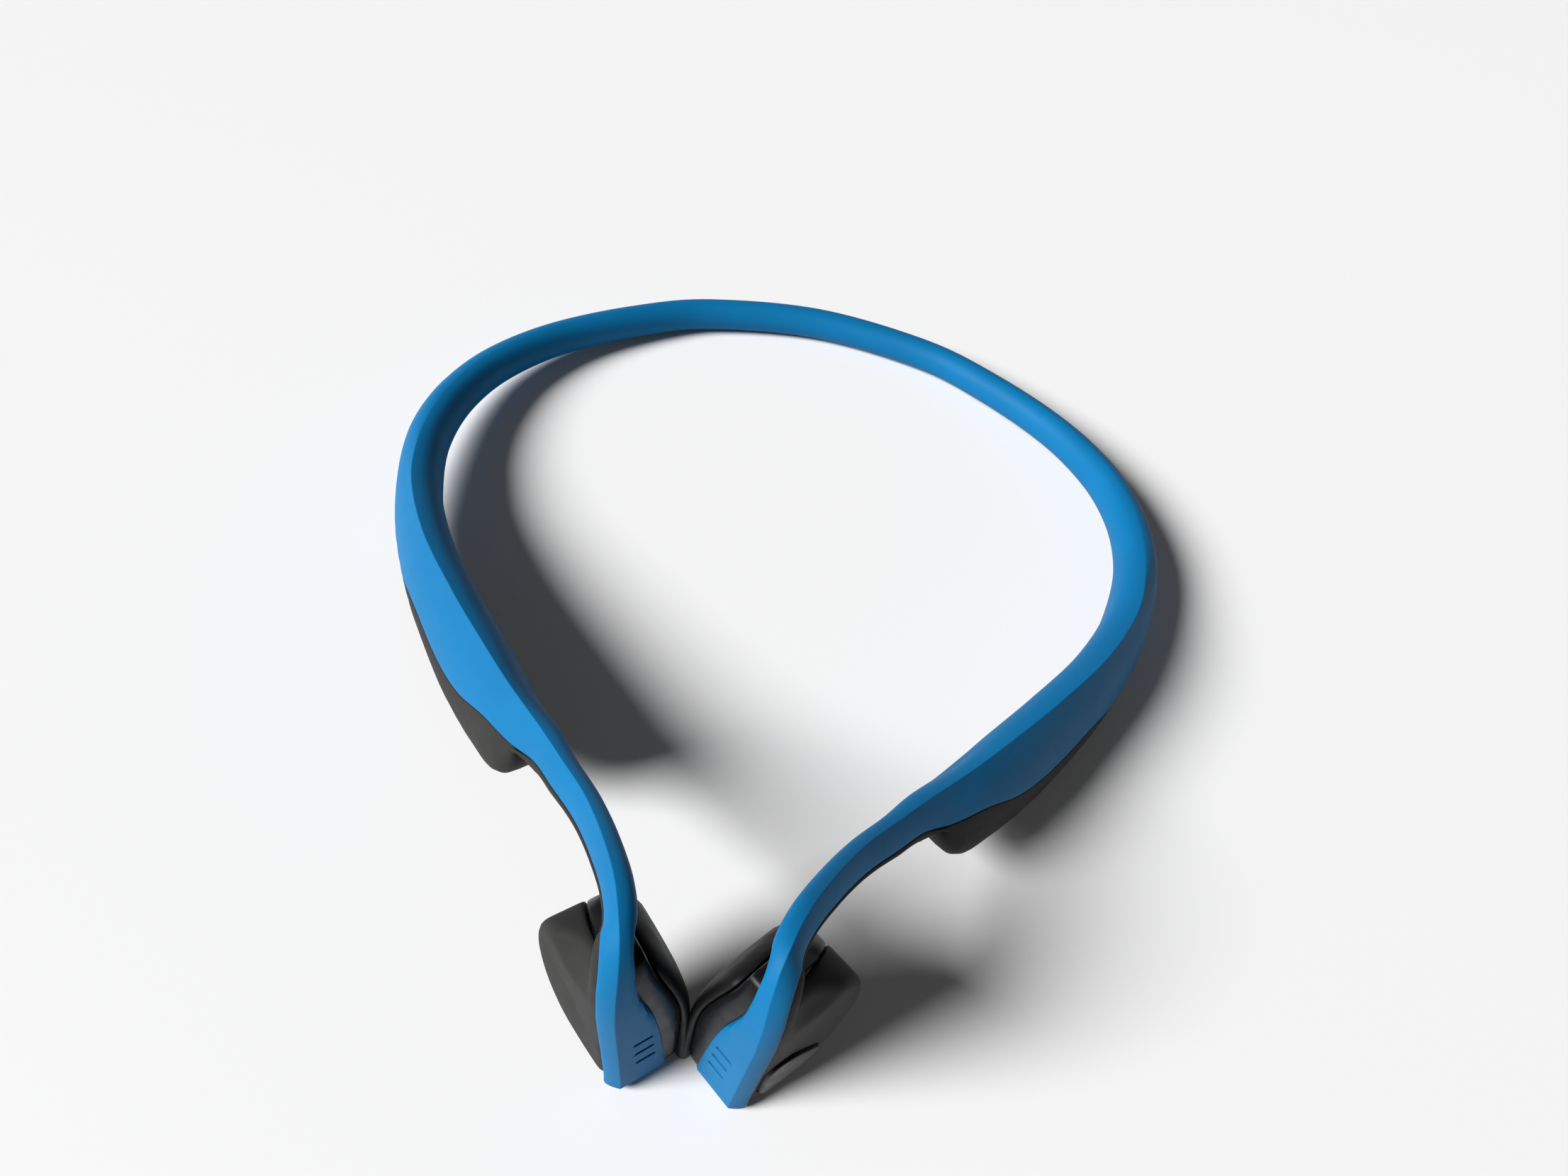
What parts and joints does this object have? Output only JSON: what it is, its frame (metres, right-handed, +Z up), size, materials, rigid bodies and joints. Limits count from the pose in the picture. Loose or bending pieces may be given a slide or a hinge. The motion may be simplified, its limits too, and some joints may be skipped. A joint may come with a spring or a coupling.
{
  "type": "bone conduction headphones",
  "caption": "Open-ear bone conduction headset with a wrap-around neckband, two pods, ear hooks and cheekbone transducers with push buttons",
  "frame": {"origin": "on the surface the headset stands on, under the middle of its outline", "axes": "+Z up, the wearer faces -Y, +X is the wearer's left"},
  "size_m": [0.1246, 0.1504, 0.037],
  "materials": {
    "blue_silicone": "soft matte silicone skin",
    "black_silicone": "soft matte black silicone",
    "black_plastic": "semi-gloss moulded plastic",
    "titanium": "drawn titanium alloy wire",
    "steel": "plated steel",
    "copper": "enamelled copper winding",
    "board": "solder-masked circuit board",
    "battery": "foil pouch",
    "clear_plastic": "clear moulded plastic",
    "foam": "closed-cell foam"
  },
  "bodies": {
    "neckband": {"left_flex_cable": "black_plastic", "left_flex_sleeve": "blue_silicone", "left_flex_wire": "titanium", "neckband_cable": "black_plastic", "neckband_sleeve": "blue_silicone", "neckband_wire": "titanium", "right_flex_cable": "black_plastic", "right_flex_sleeve": "blue_silicone", "right_flex_wire": "titanium"},
    "left_arm": {"left_battery": "battery", "left_battery_board": "board", "left_battery_foam": "foam", "left_contact_pad": "black_silicone", "left_driver_magnet": "steel", "left_driver_yoke": "steel", "left_front_fascia": "blue_silicone", "left_hook_cable": "black_plastic", "left_hook_cover": "blue_silicone", "left_hook_underside": "black_silicone", "left_hook_wire": "titanium", "left_inner_frame": "black_plastic", "left_microphone": "steel", "left_pod_cover": "blue_silicone", "left_pod_shell": "black_silicone", "left_spring_plate": "steel", "left_transducer_housing": "black_silicone", "left_vibration_bridge": "black_plastic", "left_voice_coil": "copper", "multifunction_switch": "steel"},
    "right_arm": {"charge_socket": "steel", "right_antenna": "clear_plastic", "right_contact_pad": "black_silicone", "right_driver_magnet": "steel", "right_driver_yoke": "steel", "right_front_fascia": "blue_silicone", "right_hook_cable": "black_plastic", "right_hook_cover": "blue_silicone", "right_hook_underside": "black_silicone", "right_hook_wire": "titanium", "right_inner_frame": "black_plastic", "right_main_board": "board", "right_microphone": "steel", "right_pod_cover": "blue_silicone", "right_pod_shell": "black_silicone", "right_shield_can": "steel", "right_spring_plate": "steel", "right_transducer_housing": "black_silicone", "right_vibration_bridge": "black_plastic", "right_voice_coil": "copper", "status_light_pipe": "clear_plastic", "volume_down_switch": "steel", "volume_up_switch": "steel"},
    "multifunction_button_body": {"multifunction_button": "black_plastic"},
    "port_cover_body": {"port_cover": "black_silicone"},
    "volume_down_button_body": {"volume_down_button": "black_silicone"},
    "volume_up_button_body": {"volume_up_button": "black_silicone"}
  },
  "joints": [
    {"name": "left_arm_flex", "type": "hinge", "parent": "neckband", "child": "left_arm", "pos_m": [0.05799, 0.03046, 0.00662], "axis": [0, 0, 1], "range_deg": [0, 38], "stiffness_Nm_per_rad": 0.22, "deforming": ["left_flex_sleeve", "left_flex_wire", "left_flex_cable"]},
    {"name": "right_arm_flex", "type": "hinge", "parent": "neckband", "child": "right_arm", "pos_m": [-0.05799, 0.03046, 0.00662], "axis": [0, 0, -1], "range_deg": [0, 38], "stiffness_Nm_per_rad": 0.22, "deforming": ["right_flex_sleeve", "right_flex_wire", "right_flex_cable"]},
    {"name": "multifunction_press", "type": "slide", "parent": "left_arm", "child": "multifunction_button_body", "axis": [-0.7826, 0.6225, 0], "range_m": [0, 0.0005], "stiffness_N_per_m": 2500},
    {"name": "volume_down_press", "type": "slide", "parent": "right_arm", "child": "volume_down_button_body", "axis": [-0.0866, 0.1158, 0.9895], "range_m": [0, 0.0005], "stiffness_N_per_m": 2500},
    {"name": "volume_up_press", "type": "slide", "parent": "right_arm", "child": "volume_up_button_body", "axis": [-0.1001, 0.1302, 0.9864], "range_m": [0, 0.0005], "stiffness_N_per_m": 2500},
    {"name": "port_cover_swing", "type": "hinge", "parent": "right_arm", "child": "port_cover_body", "pos_m": [-0.0463, -0.01364, 0.00464], "axis": [-0.8605, -0.5095, -0.0033], "range_deg": [0, 100], "stiffness_Nm_per_rad": 0.0004}
  ]
}
